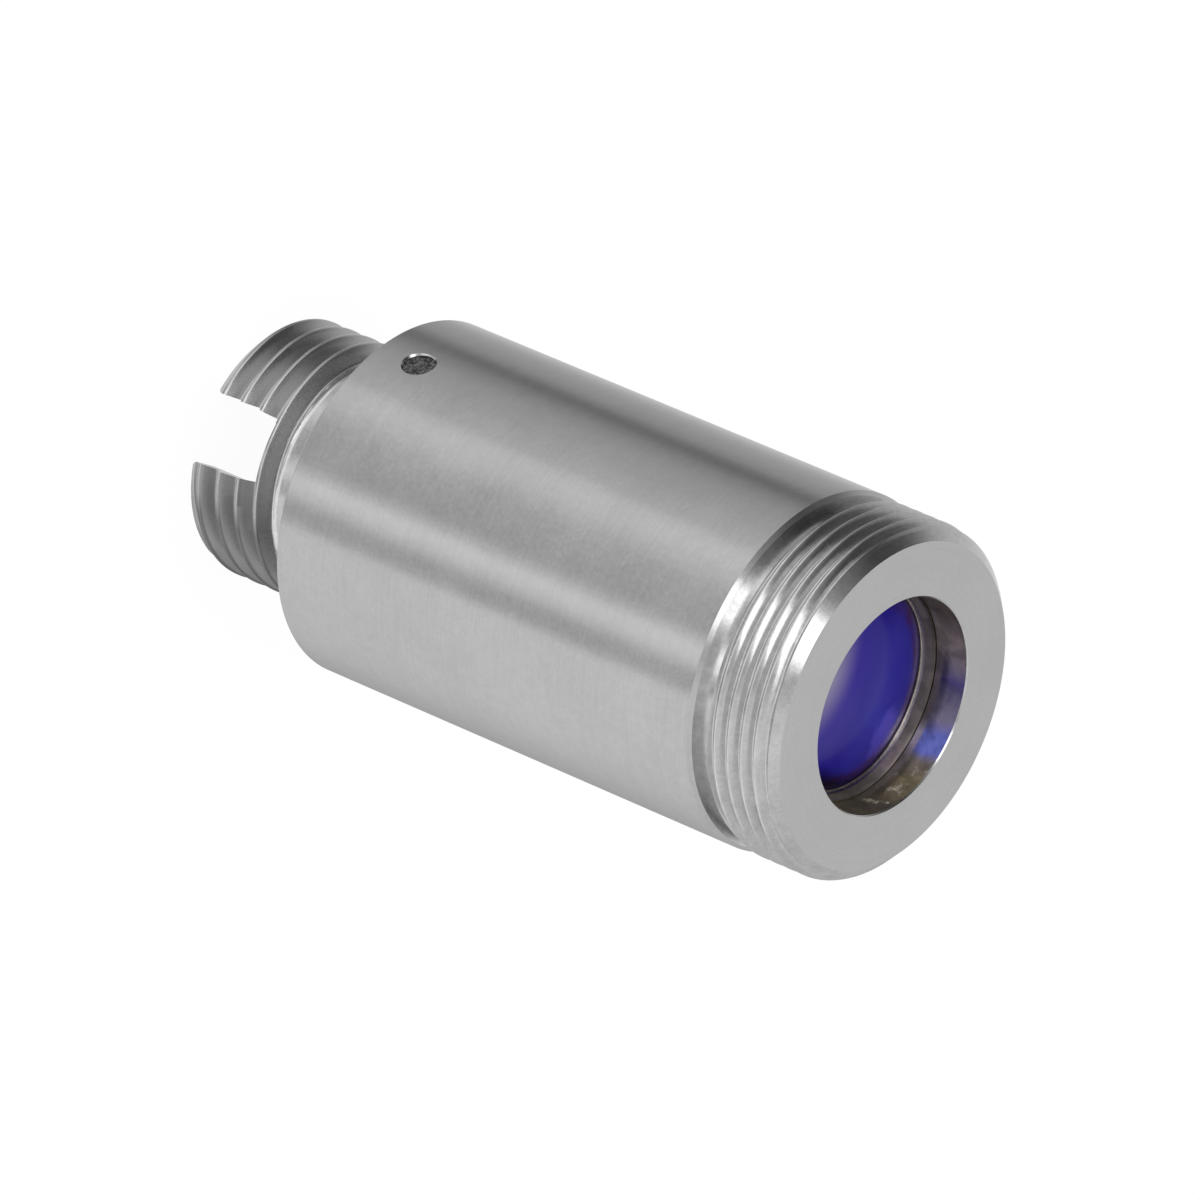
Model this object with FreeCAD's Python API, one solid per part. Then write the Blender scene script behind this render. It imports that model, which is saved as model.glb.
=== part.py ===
"""Fixed-focus fibre collimator: a round steel barrel with a lens in its nose and a keyed
connector socket at its rear.

Millimetres. +Z is the optical axis and the way the beam leaves. The origin is on that axis
at the open end of the connector socket, and +X points through the middle of the key slot.
"""
import FreeCAD, Part
import math
import os

# Lens, which sets the size of the cell and the barrel round it
LENS_DIAMETER = 6.50
LENS_THICKNESS = 2.20
LENS_RIM_WIDTH = 0.20
LENS_FRONT_RADIUS = 9.0
LENS_CONIC = -0.7

# Cell that carries the lens
CELL_WALL = 1.21
CELL_LENGTH = 3.40
CELL_LIP_THICKNESS = 0.45
CELL_LEDGE = 0.16
CELL_MOUTH_FLARE = 0.18
CELL_EDGE_BREAK = 0.15
SPANNER_SLOT_WIDTH = 1.0
SPANNER_SLOT_DEPTH = 0.6
BOND_WIDTH = 0.40

# Barrel, one turned piece 11 mm across, measured forward from its rear face
BARREL_WALL = 0.90
BODY_LENGTH = 15.92
BODY_FRONT_BREAK = 0.12
BODY_REAR_BREAK = 0.06

# Nose of the barrel: thread relief, threaded land and front lip
NOSE_LENGTH = 2.98
NOSE_THREAD_UNDERSIZE = 0.10
NOSE_RELIEF_WIDTH = 0.60
NOSE_RELIEF_DEPTH = 0.35
NOSE_CHAMFER = 0.45
APERTURE_MARGIN = 0.10
APERTURE_BREAK = 0.04
LIP_THICKNESS = 1.15
CELL_THREAD_DEPTH = 5.0

# Adhesive port near the rear of the barrel
PORT_DIAMETER = 1.05
PORT_SETBACK = 1.585
PORT_ANGLE = -48.25
POTTING_RECESS = 0.12

# Connector receptacle, measured forward from its open end
RECEPTACLE_REACH = 4.88
COUPLING_DIAMETER = 7.97
COUPLING_LENGTH = 2.95
COUPLING_CHAMFER = 0.16
NECK_DIAMETER = 7.0
NECK_FILLET = 0.17
SOCKET_DIAMETER = 6.05
SOCKET_DEPTH = 2.68
SOCKET_MOUTH_BREAK = 0.12
SPIGOT_RECESS = 0.20
SPIGOT_LENGTH = 5.0
SPIGOT_BREAK = 0.20

# Key slot through the wall of the socket
KEY_SLOT_WIDTH = 2.15
KEY_SLOT_DEPTH = 2.53
KEY_SLOT_TAPER_LENGTH = 0.80
KEY_SLOT_TAPER_INSET = 0.19

# Bushing that guides the connector's ferrule
FERRULE_DIAMETER = 2.50
BUSHING_WALL = 0.75
BUSHING_LENGTH = 4.10
FERRULE_LEAD_IN = 0.20
STOP_APERTURE_DIAMETER = 1.60
BEAM_EXIT_DIAMETER = 4.4

# Adhesive groove round the spigot
GLUE_GROOVE_WIDTH = 1.30
GLUE_GROOVE_DEPTH = 0.35

# Angle between a thread's flank and a plane across its axis
THREAD_FLANK_ANGLE = 30

# Clearances between mating pieces
SLIDE_CLEARANCE = 0.02
CELL_PASSING_CLEARANCE = 0.10
PRESS_CLEARANCE = 0.02
FILL_CLEARANCE = 0.02

# Places along the axis and radii that several pieces share
REAR_FACE = RECEPTACLE_REACH
BODY_FRONT = REAR_FACE + BODY_LENGTH
FRONT_FACE = BODY_FRONT + NOSE_LENGTH
LIP_BACK = FRONT_FACE - LIP_THICKNESS
LENS_SEAT = LIP_BACK - CELL_LIP_THICKNESS
SPIGOT_REAR = REAR_FACE + SPIGOT_RECESS
PORT_PLACE = REAR_FACE + PORT_SETBACK
LENS_RADIUS = LENS_DIAMETER / 2
POCKET_RADIUS = LENS_RADIUS + SLIDE_CLEARANCE
CELL_RADIUS = POCKET_RADIUS + CELL_WALL
CELL_BORE_RADIUS = CELL_RADIUS + SLIDE_CLEARANCE
REAR_BORE_RADIUS = CELL_BORE_RADIUS + CELL_PASSING_CLEARANCE
BODY_RADIUS = REAR_BORE_RADIUS + BARREL_WALL
SPIGOT_RADIUS = REAR_BORE_RADIUS - SLIDE_CLEARANCE
GLUE_GROOVE_FLOOR = SPIGOT_RADIUS - GLUE_GROOVE_DEPTH
FERRULE_RADIUS = FERRULE_DIAMETER / 2
BUSHING_RADIUS = FERRULE_RADIUS + BUSHING_WALL
FLANK_RUN = math.tan(math.radians(THREAD_FLANK_ANGLE))

AXIS_START = FreeCAD.Vector(0, 0, 0)
AXIS = FreeCAD.Vector(0, 0, 1)


def at(radius, height):
    """Point of a turned outline."""
    return FreeCAD.Vector(radius, 0, height)


def turned(outline):
    """Solid turned about the axis from a closed outline of points and ready edges."""
    edges = []
    for here, after in zip(outline, outline[1:] + outline[:1]):
        if isinstance(here, Part.Edge):
            edges.append(here)
            start = here.valueAt(here.LastParameter)
        else:
            start = here
        end = after.valueAt(after.FirstParameter) if isinstance(after, Part.Edge) else after
        if start.distanceToPoint(end) > 1e-7:
            edges.append(Part.makeLine(start, end))
    face = Part.Face(Part.Wire(edges))
    return face.revolve(AXIS_START, AXIS, 360)


def arc(start, middle, end):
    """Edge along a circle through three points."""
    return Part.Arc(start, middle, end).toShape()


def fillet_arc(centre, radius, first_angle, last_angle):
    """Edge of a fillet, from its centre and its end angles in degrees."""
    angles = (first_angle, (first_angle + last_angle) / 2, last_angle)
    points = []
    for angle in angles:
        turn = math.radians(angle)
        points.append(centre + at(radius * math.cos(turn), radius * math.sin(turn)))
    return arc(*points)


def lens_sag(radius):
    """Drop of the aspheric front surface below its middle."""
    curvature = 1 / LENS_FRONT_RADIUS
    root = math.sqrt(1 - (1 + LENS_CONIC) * (curvature * radius) ** 2)
    return curvature * radius ** 2 / (1 + root)


def lens_slope(radius):
    """Steepness of the aspheric front surface at a distance from its middle."""
    curvature = 1 / LENS_FRONT_RADIUS
    return curvature * radius / math.sqrt(1 - (1 + LENS_CONIC) * (curvature * radius) ** 2)


def port_cylinder(radius, inner, outer):
    """Round bar along the adhesive port, between two distances from the axis."""
    turn = math.radians(PORT_ANGLE)
    outward = FreeCAD.Vector(math.cos(turn), math.sin(turn), 0)
    start = FreeCAD.Vector(0, 0, PORT_PLACE) + outward * inner
    return Part.makeCylinder(radius, outer - inner, start, outward)


def make_housing():
    """Barrel with a threaded nose, a lip round the aperture and a stepped bore."""
    thread_radius = BODY_RADIUS - NOSE_THREAD_UNDERSIZE / 2
    relief_radius = thread_radius - NOSE_RELIEF_DEPTH
    aperture_radius = LENS_RADIUS + APERTURE_MARGIN
    thread_start = BODY_FRONT + NOSE_RELIEF_WIDTH
    thread_lead = NOSE_RELIEF_DEPTH * FLANK_RUN
    cell_thread_end = LIP_BACK - CELL_THREAD_DEPTH
    outside = [
        at(REAR_BORE_RADIUS + BODY_REAR_BREAK, REAR_FACE),
        at(BODY_RADIUS - BODY_REAR_BREAK, REAR_FACE),
        at(BODY_RADIUS, REAR_FACE + BODY_REAR_BREAK),
        at(BODY_RADIUS, BODY_FRONT - BODY_FRONT_BREAK),
        at(BODY_RADIUS - BODY_FRONT_BREAK, BODY_FRONT),
        at(relief_radius, BODY_FRONT),
        at(relief_radius, thread_start - thread_lead),
        at(thread_radius, thread_start),
        at(thread_radius, FRONT_FACE - NOSE_CHAMFER),
        at(thread_radius - NOSE_CHAMFER, FRONT_FACE),
    ]
    inside = [
        at(aperture_radius + APERTURE_BREAK, FRONT_FACE),
        at(aperture_radius, FRONT_FACE - APERTURE_BREAK),
        at(aperture_radius, LIP_BACK),
        at(CELL_BORE_RADIUS, LIP_BACK),
        at(CELL_BORE_RADIUS, cell_thread_end),
        at(REAR_BORE_RADIUS, cell_thread_end - CELL_PASSING_CLEARANCE),
        at(REAR_BORE_RADIUS, REAR_FACE + BODY_REAR_BREAK),
    ]
    port = port_cylinder(PORT_DIAMETER / 2, GLUE_GROOVE_FLOOR, 2 * BODY_RADIUS)
    return turned(outside + inside).cut(port)


def make_lens():
    """Aspheric lens with a flat rim round its domed front and a flat back."""
    dome_radius = LENS_RADIUS - LENS_RIM_WIDTH
    top = LENS_SEAT + lens_sag(dome_radius)
    steps = 8
    dome = []
    for step in range(steps + 1):
        radius = dome_radius * step / steps
        dome.append(at(radius, top - lens_sag(radius)))
    curve = Part.BSplineCurve()
    curve.interpolate(Points=dome, InitialTangent=at(1, 0), FinalTangent=at(1, -lens_slope(dome_radius)))
    back = top - LENS_THICKNESS
    outline = [curve.toShape(), at(LENS_RADIUS, LENS_SEAT), at(LENS_RADIUS, back), at(0, back)]
    return turned(outline)


def make_lens_cell():
    """Threaded ring whose front lip holds the lens, with spanner slots across its back."""
    opening = LENS_RADIUS - CELL_LEDGE
    back = LIP_BACK - CELL_LENGTH
    outline = [
        at(opening + CELL_MOUTH_FLARE, LIP_BACK),
        at(CELL_RADIUS - CELL_EDGE_BREAK, LIP_BACK),
        at(CELL_RADIUS, LIP_BACK - CELL_EDGE_BREAK),
        at(CELL_RADIUS, back + CELL_EDGE_BREAK),
        at(CELL_RADIUS - CELL_EDGE_BREAK, back),
        at(POCKET_RADIUS + CELL_EDGE_BREAK, back),
        at(POCKET_RADIUS, back + CELL_EDGE_BREAK),
        at(POCKET_RADIUS, LENS_SEAT),
        at(opening, LENS_SEAT),
    ]
    slot = Part.makeBox(
        SPANNER_SLOT_WIDTH, 2 * BODY_RADIUS, SPANNER_SLOT_DEPTH,
        FreeCAD.Vector(-SPANNER_SLOT_WIDTH / 2, -BODY_RADIUS, back))
    return turned(outline).cut(slot)


def make_lens_bond():
    """Bead of clear adhesive in the corner between the lens's back and its cell."""
    back = LENS_SEAT + lens_sag(LENS_RADIUS - LENS_RIM_WIDTH) - LENS_THICKNESS
    outer = POCKET_RADIUS - FILL_CLEARANCE
    hollow = fillet_arc(at(outer - BOND_WIDTH, back - BOND_WIDTH), BOND_WIDTH, 90, 0)
    return turned([at(outer, back), hollow])


def key_slot():
    """Cutter for the key slot: straight sides that draw in towards its closed end."""
    half = KEY_SLOT_WIDTH / 2
    end_half = half - KEY_SLOT_TAPER_INSET
    taper_start = KEY_SLOT_DEPTH - KEY_SLOT_TAPER_LENGTH
    corners = [
        (-half, -COUPLING_CHAMFER),
        (half, -COUPLING_CHAMFER),
        (half, taper_start),
        (end_half, KEY_SLOT_DEPTH),
        (-end_half, KEY_SLOT_DEPTH),
        (-half, taper_start),
    ]
    points = [FreeCAD.Vector(0, across, height) for across, height in corners]
    face = Part.Face(Part.makePolygon(points + points[:1]))
    return face.extrude(FreeCAD.Vector(COUPLING_DIAMETER, 0, 0))


def make_fc_receptacle():
    """Keyed connector socket with its coupling land, neck and the spigot held in the barrel."""
    coupling_radius = COUPLING_DIAMETER / 2
    neck_radius = NECK_DIAMETER / 2
    socket_radius = SOCKET_DIAMETER / 2
    shoulder_drop = (coupling_radius - neck_radius - NECK_FILLET) * FLANK_RUN
    glue_rear = PORT_PLACE - GLUE_GROOVE_WIDTH / 2
    glue_front = PORT_PLACE + GLUE_GROOVE_WIDTH / 2
    spigot_front = SPIGOT_REAR + SPIGOT_LENGTH
    bushing_seat = SOCKET_DEPTH + BUSHING_LENGTH
    seat_radius = BUSHING_RADIUS + PRESS_CLEARANCE
    neck_corner = fillet_arc(
        at(neck_radius + NECK_FILLET, COUPLING_LENGTH + NECK_FILLET), NECK_FILLET, 270, 180)
    outside = [
        at(socket_radius + SOCKET_MOUTH_BREAK, 0),
        at(coupling_radius - COUPLING_CHAMFER, 0),
        at(coupling_radius, COUPLING_CHAMFER),
        at(coupling_radius, COUPLING_LENGTH - shoulder_drop),
        neck_corner,
        at(neck_radius, SPIGOT_REAR),
        at(SPIGOT_RADIUS - SPIGOT_BREAK, SPIGOT_REAR),
        at(SPIGOT_RADIUS, SPIGOT_REAR + SPIGOT_BREAK),
        at(SPIGOT_RADIUS, glue_rear),
        at(GLUE_GROOVE_FLOOR, glue_rear),
        at(GLUE_GROOVE_FLOOR, glue_front),
        at(SPIGOT_RADIUS, glue_front),
        at(SPIGOT_RADIUS, spigot_front - SPIGOT_BREAK),
        at(SPIGOT_RADIUS - SPIGOT_BREAK, spigot_front),
    ]
    inside = [
        at(BEAM_EXIT_DIAMETER / 2, spigot_front),
        at(STOP_APERTURE_DIAMETER / 2, bushing_seat + STOP_APERTURE_DIAMETER / 4),
        at(STOP_APERTURE_DIAMETER / 2, bushing_seat),
        at(seat_radius, bushing_seat),
        at(seat_radius, SOCKET_DEPTH),
        at(socket_radius, SOCKET_DEPTH),
        at(socket_radius, SOCKET_MOUTH_BREAK),
    ]
    return turned(outside + inside).cut(key_slot())


def make_ferrule_bushing():
    """Precision sleeve in the floor of the socket, with a lead-in for the ferrule."""
    front = SOCKET_DEPTH + BUSHING_LENGTH
    outline = [
        at(FERRULE_RADIUS + FERRULE_LEAD_IN, SOCKET_DEPTH),
        at(BUSHING_RADIUS, SOCKET_DEPTH),
        at(BUSHING_RADIUS, front),
        at(FERRULE_RADIUS, front),
        at(FERRULE_RADIUS, SOCKET_DEPTH + FERRULE_LEAD_IN),
    ]
    return turned(outline)


def make_potting():
    """Cured adhesive: a ring in the spigot's groove and the plug that fills the port."""
    half_width = GLUE_GROOVE_WIDTH / 2 - FILL_CLEARANCE
    inner = GLUE_GROOVE_FLOOR + FILL_CLEARANCE
    outer = SPIGOT_RADIUS
    ring = turned([
        at(inner, PORT_PLACE - half_width),
        at(outer, PORT_PLACE - half_width),
        at(outer, PORT_PLACE + half_width),
        at(inner, PORT_PLACE + half_width),
    ])
    plug_radius = PORT_DIAMETER / 2 - FILL_CLEARANCE
    plug = port_cylinder(plug_radius, (inner + outer) / 2, BODY_RADIUS - POTTING_RECESS)
    return ring.fuse(plug).removeSplitter()


PIECES = {
    "housing": make_housing,
    "fc_receptacle": make_fc_receptacle,
    "ferrule_bushing": make_ferrule_bushing,
    "lens_cell": make_lens_cell,
    "aspheric_lens": make_lens,
    "lens_bond": make_lens_bond,
    "potting": make_potting,
}

os.makedirs("parts", exist_ok=True)
for name, make in PIECES.items():
    shape = make()
    shape.exportStep("parts/" + name + ".step")
    print(name, "solids", len(shape.Solids), "valid", shape.isValid(), "volume", round(shape.Volume, 3))
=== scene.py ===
"""Looks of the fibre collimator: its real threads, turned steel, coated lens and black adhesive.

Lengths in the shape code are millimetres in the row frame; meshes are written in metres.
"""
import math

import bmesh
import bpy
import numpy as np
from mathutils import Matrix, Vector, noise


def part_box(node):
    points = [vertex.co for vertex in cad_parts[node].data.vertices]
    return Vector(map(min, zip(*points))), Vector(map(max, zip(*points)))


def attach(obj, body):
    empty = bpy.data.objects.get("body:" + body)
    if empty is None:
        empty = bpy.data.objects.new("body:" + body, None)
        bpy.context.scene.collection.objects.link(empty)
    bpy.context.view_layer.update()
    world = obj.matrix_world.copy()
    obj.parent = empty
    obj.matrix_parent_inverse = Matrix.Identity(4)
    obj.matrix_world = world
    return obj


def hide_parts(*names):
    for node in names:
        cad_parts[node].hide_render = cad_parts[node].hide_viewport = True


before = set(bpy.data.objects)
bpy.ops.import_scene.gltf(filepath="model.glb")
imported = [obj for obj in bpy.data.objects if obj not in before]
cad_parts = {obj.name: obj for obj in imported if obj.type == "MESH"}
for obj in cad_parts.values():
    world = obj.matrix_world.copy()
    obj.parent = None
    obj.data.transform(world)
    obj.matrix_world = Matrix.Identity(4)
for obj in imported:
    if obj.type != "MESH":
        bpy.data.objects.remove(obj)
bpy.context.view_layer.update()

MM = 0.001


def extent(node):
    """Where a node starts and ends along the axis, and its radius, rounded to a micron."""
    (_, _, start), (radius, _, end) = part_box(node)
    return [round(value / MM, 3) for value in (start, end, radius)]


# Places along the axis and radii that come from the solids
REAR_FACE, FRONT_FACE, BODY_RADIUS = extent("housing")
CELL_BACK, LIP_BACK, CELL_RADIUS = extent("lens_cell")
SOCKET_DEPTH, BUSHING_SEAT, BUSHING_RADIUS = extent("ferrule_bushing")
SPIGOT_FRONT, SPIGOT_RADIUS = extent("fc_receptacle")[1:]
ADHESIVE_REAR, ADHESIVE_FRONT = extent("potting")[:2]
LENS_RADIUS = extent("aspheric_lens")[2]

# Clearance on each side between pieces that slide, are pressed in or are filled round
CLEARANCE = 0.02

# Barrel
BODY_FRONT = REAR_FACE + 15.92
BODY_FRONT_BREAK = 0.12
BODY_REAR_BREAK = 0.06
REAR_BORE = SPIGOT_RADIUS + CLEARANCE
CELL_BORE = CELL_RADIUS + CLEARANCE
CELL_BORE_END = LIP_BACK - 5.0
BORE_STEP = 0.10

# Nose of the barrel
NOSE_RADIUS = 5.45
NOSE_CHAMFER = 0.45
RELIEF_RADIUS = 5.10
RELIEF_END = BODY_FRONT + 0.398
NOSE_THREAD_START = BODY_FRONT + 0.60

# Aperture, which the photo shows 0.04 mm tighter than the solid has it
APERTURE_RADIUS = LENS_RADIUS + 0.06
APERTURE_BREAK = 0.04

# Radius within which a face near the front is on the aperture's wall or the cell's lip
APERTURE_REGION = APERTURE_RADIUS + 0.19

# Adhesive port. Its bore is 0.03 mm tighter than in the solid, and its broken mouth as much wider
PORT_RADIUS = 0.525
PORT_HEIGHT = (ADHESIVE_REAR + ADHESIVE_FRONT) / 2
PORT_AZIMUTH = math.radians(-48.25)
PORT_BORE = PORT_RADIUS - 0.03
PORT_BREAK = 0.06
PORT_BREAK_START = BODY_RADIUS - 0.07

# Receptacle
COUPLING_RADIUS = 3.985
COUPLING_LENGTH = 2.95
COUPLING_CHAMFER = 0.16
LAND_END = 2.768
NECK_RADIUS = 3.5
NECK_FILLET = 0.17
SOCKET_RADIUS = 3.025
SOCKET_MOUTH_BREAK = 0.12
SPIGOT_REAR = SPIGOT_FRONT - 5.0
SPIGOT_BREAK = 0.20
GROOVE_REAR = ADHESIVE_REAR - CLEARANCE
GROOVE_FRONT = ADHESIVE_FRONT + CLEARANCE
GROOVE_FLOOR = SPIGOT_RADIUS - 0.35
STOP_RADIUS = 0.80
STOP_LENGTH = 0.40
BEAM_EXIT_RADIUS = 2.2
FERRULE_RADIUS = 1.25
FERRULE_LEAD_IN = 0.20

# Key slot
SLOT_HALF_WIDTH = 1.075
SLOT_TIP_HALF_WIDTH = 0.885
SLOT_TAPER_START = 1.73
SLOT_DEPTH = 2.53
SLOT_MOUTH_ROUND = 0.14

# Lens and its cell
LENS_SEAT = LIP_BACK - 0.45
LENS_THICKNESS = 2.20
LENS_CURVATURE = 1 / 9.0
LENS_CONIC = -0.7
DOME_RADIUS = LENS_RADIUS - 0.20
CELL_OPENING = LENS_RADIUS - 0.16
CELL_POCKET = LENS_RADIUS + CLEARANCE
CELL_EDGE_BREAK = 0.15
SPANNER_SLOT_WIDTH = 1.0
SPANNER_SLOT_DEPTH = 0.6

# Heights between which the colours and painted light of the lip's joint and the wall's foot, and the painted
# shade of the dark band, fade
JOINT_EDGE = (LIP_BACK - 0.04, LIP_BACK - 0.13)
FOOT_EDGE = (LIP_BACK + 0.17, LIP_BACK + 0.29)
BAND_EDGE = (LIP_BACK + 0.35, LIP_BACK + 0.59)

# Angles between the axis and a thread's flank, where it is worn and below that
WORN_FLANK = math.radians(48)
DEEP_FLANK = math.radians(60)

# Columns round the threaded pieces, and plain rows along a thread
COLUMNS = 640
PLAIN_ROWS = 25

# Distance in metres within which points are welded, and the sharpest edge that is shaded smooth
WELD = 1e-7
SMOOTH_ANGLE = math.radians(28)

# Tolerance for telling which surface a face belongs to
NEAR = 0.001


# Shapes


def half_thread(depth, crest_flat, worn, crest_round, root_round, pitch):
    """One thread from the middle of its crest to the middle of its root, as places and depths.

    The flank leans at one angle down to the worn depth and more steeply below it.
    """
    corner = crest_flat / 2
    reach = crest_round * math.tan(WORN_FLANK / 2)
    worn_end = corner + worn / math.tan(WORN_FLANK)
    foot = worn_end + (depth - worn) / math.tan(DEEP_FLANK)
    run = root_round * math.tan(DEEP_FLANK / 2)
    places = [
        0, corner - reach, corner + reach * math.cos(WORN_FLANK), worn_end,
        foot - run * math.cos(DEEP_FLANK), foot + run - root_round * math.sin(DEEP_FLANK / 2),
        foot + run, pitch / 2]
    depths = [
        0, 0, reach * math.sin(WORN_FLANK), worn,
        depth - run * math.sin(DEEP_FLANK), depth - root_round * (1 - math.cos(DEEP_FLANK / 2)),
        depth, depth]
    return np.array(places), np.array(depths)


class Thread:
    """A right-handed thread: where its crests are, its form, and the outline that cuts it off.

    run_in gives heights and the share of the full depth that the thread has at each.
    """

    def __init__(self, pitch, crest_radius, root_radius, crest_at, crest_flat, worn, rounds, outline,
                 run_in=((0, 1), (1, 1))):
        self.pitch = pitch
        self.crest_radius = crest_radius
        self.crest_at = crest_at
        depth = crest_radius - root_radius
        self.form = half_thread(depth, crest_flat, worn, rounds[0], rounds[1], pitch)
        self.outline = np.array(outline)
        self.run_in = run_in

    def radius(self, height, turn):
        """Radius at heights on one azimuth, which is given in turns."""
        phase = (height - self.crest_at) / self.pitch - turn
        away = np.abs(phase - np.round(phase)) * self.pitch
        share = np.interp(height, *self.run_in)
        form = self.crest_radius - share * np.interp(away, *self.form)
        limit = np.interp(height, self.outline[:, 0], self.outline[:, 1])
        return np.minimum(form, limit)

    def rows(self, turn):
        """Points of the thread on one azimuth, the same number on each."""
        low, high = self.outline[0, 0], self.outline[-1, 0]
        first = math.floor((low - self.crest_at) / self.pitch) - 2
        last = math.ceil((high - self.crest_at) / self.pitch) + 2
        crests = self.crest_at + self.pitch * (np.arange(first, last) + turn)
        places = self.form[0]
        helical = (crests[:, None] + np.concatenate([-places[::-1], places[1:]])[None, :]).ravel()
        fixed = np.concatenate([self.outline[:, 0], np.linspace(low, high, PLAIN_ROWS)])
        heights = np.sort(np.clip(np.concatenate([helical, fixed]), low, high))
        return np.stack([self.radius(heights, turn), heights], 1)


def new_object(name, data):
    made = bpy.data.objects.new(name, data)
    bpy.context.scene.collection.objects.link(made)
    return made


def finish_mesh(mesh):
    """Welds a mesh, points its normals outwards and shades it smooth between its sharp edges."""
    work = bmesh.new()
    work.from_mesh(mesh)
    bmesh.ops.remove_doubles(work, verts=work.verts, dist=WELD)
    bmesh.ops.dissolve_degenerate(work, edges=work.edges, dist=WELD)
    bmesh.ops.recalc_face_normals(work, faces=work.faces)
    work.to_mesh(mesh)
    work.free()
    mesh.shade_smooth()
    mesh.set_sharp_from_angle(angle=SMOOTH_ANGLE)


def turned(name, outline_at, columns=COLUMNS):
    """Piece turned about the axis. outline_at gives its closed outline on an azimuth in turns."""
    turns = np.linspace(0, 1, columns + 1)
    rows = np.array([outline_at(turn) for turn in turns])
    radius, height = rows[:, :, 0], rows[:, :, 1]
    angle = 2 * math.pi * turns[:, None]
    points = np.stack([radius * np.cos(angle), radius * np.sin(angle), height], 2)
    count = rows.shape[1]
    column, row = np.meshgrid(np.arange(columns), np.arange(count), indexing="ij")
    after = (row + 1) % count
    corners = [
        column * count + row, (column + 1) * count + row,
        (column + 1) * count + after, column * count + after]
    faces = np.stack([corner.ravel() for corner in corners], 1)
    mesh = bpy.data.meshes.new(name)
    mesh.from_pydata((points.reshape(-1, 3) * MM).tolist(), [], faces.tolist())
    finish_mesh(mesh)
    return new_object(name, mesh)


def steady(points):
    """Outline that is the same all round."""
    fixed = np.array(points, float)
    return lambda turn: fixed


def cut(piece, cutter, operation="DIFFERENCE"):
    """Applies a boolean to a piece and drops the cutter."""
    step = piece.modifiers.new("cut", "BOOLEAN")
    step.operation = operation
    step.solver = "MANIFOLD"
    step.object = cutter
    graph = bpy.context.evaluated_depsgraph_get()
    mesh = bpy.data.meshes.new_from_object(piece.evaluated_get(graph))
    piece.modifiers.clear()
    mesh.materials.clear()
    piece.data = mesh
    bpy.data.objects.remove(cutter)
    finish_mesh(mesh)


def prism(name, corners, near, far):
    """Block with an outline in the YZ plane, from one x to another."""
    mesh = bpy.data.meshes.new(name)
    count = len(corners)
    points = [(x * MM, y * MM, z * MM) for x in (near, far) for y, z in corners]
    ends = [tuple(range(count)), tuple(range(count, 2 * count))]
    sides = [(i, (i + 1) % count, count + (i + 1) % count, count + i) for i in range(count)]
    mesh.from_pydata(points, [], ends + sides)
    finish_mesh(mesh)
    return new_object(name, mesh)


def port_direction():
    return Vector((math.cos(PORT_AZIMUTH), math.sin(PORT_AZIMUTH), 0))


def along_port(piece):
    """Turns a piece that was made about +Z so that it lies along the port, from the axis outwards."""
    turn = port_direction().to_track_quat("Z", "Y").to_matrix().to_4x4()
    piece.data.transform(Matrix.Translation((0, 0, PORT_HEIGHT * MM)) @ turn)


def quarter_round(size, count=7):
    """Points along a quarter circle: the first value goes from 0 to size, the second from size to 0."""
    angles = np.linspace(0, math.pi / 2, count)
    return [(size * (1 - math.cos(angle)), size * (1 - math.sin(angle))) for angle in angles]


def across(place):
    """Distance of a place from the axis."""
    return math.hypot(place.x, place.y)


def paint(piece, materials, choose):
    """Gives each face the material that choose names for the face's middle, in millimetres."""
    names = list(materials)
    for material in materials.values():
        piece.data.materials.append(material)
    for face in piece.data.polygons:
        face.material_index = names.index(choose(face.center / MM))


# Materials


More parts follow.
